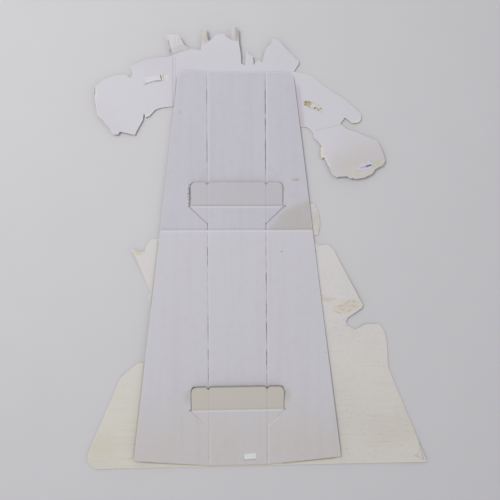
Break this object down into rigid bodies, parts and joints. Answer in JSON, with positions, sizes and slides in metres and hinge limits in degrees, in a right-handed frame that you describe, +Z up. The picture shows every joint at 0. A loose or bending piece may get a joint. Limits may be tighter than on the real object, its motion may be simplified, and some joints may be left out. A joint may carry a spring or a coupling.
{
  "type": "cardboard display stand",
  "caption": "Plain white die-cut cardboard display stand lying face down, with a folded double-wing easel, perforated scores and lock tabs on its back.",
  "frame": {"origin": "middle of the footprint, on the surface that the stand lies on with its front face down", "axes": "+X to the right as seen from the back, +Y from the base edge towards the head, +Z up out of the back with the easel"},
  "size_m": [1.3946, 1.8, 0.0273],
  "materials": {
    "facing_card": "matt white facing card, cream at its cut edges",
    "white_board": "matt white liner, slightly creamy, stained and dented",
    "grey_white_board": "matt grey-white liner",
    "white_paper_tape": "matt white paper tape",
    "brown_tape": "torn and yellowed tape",
    "label_paper": "smooth white paper"
  },
  "bodies": {
    "root": {"face_sheet": "facing_card", "backing_board": "white_board", "easel": "grey_white_board", "white_tape": "white_paper_tape", "torn_tape": "brown_tape", "hand_label": "label_paper", "base_label": "label_paper"}
  },
  "joints": []
}
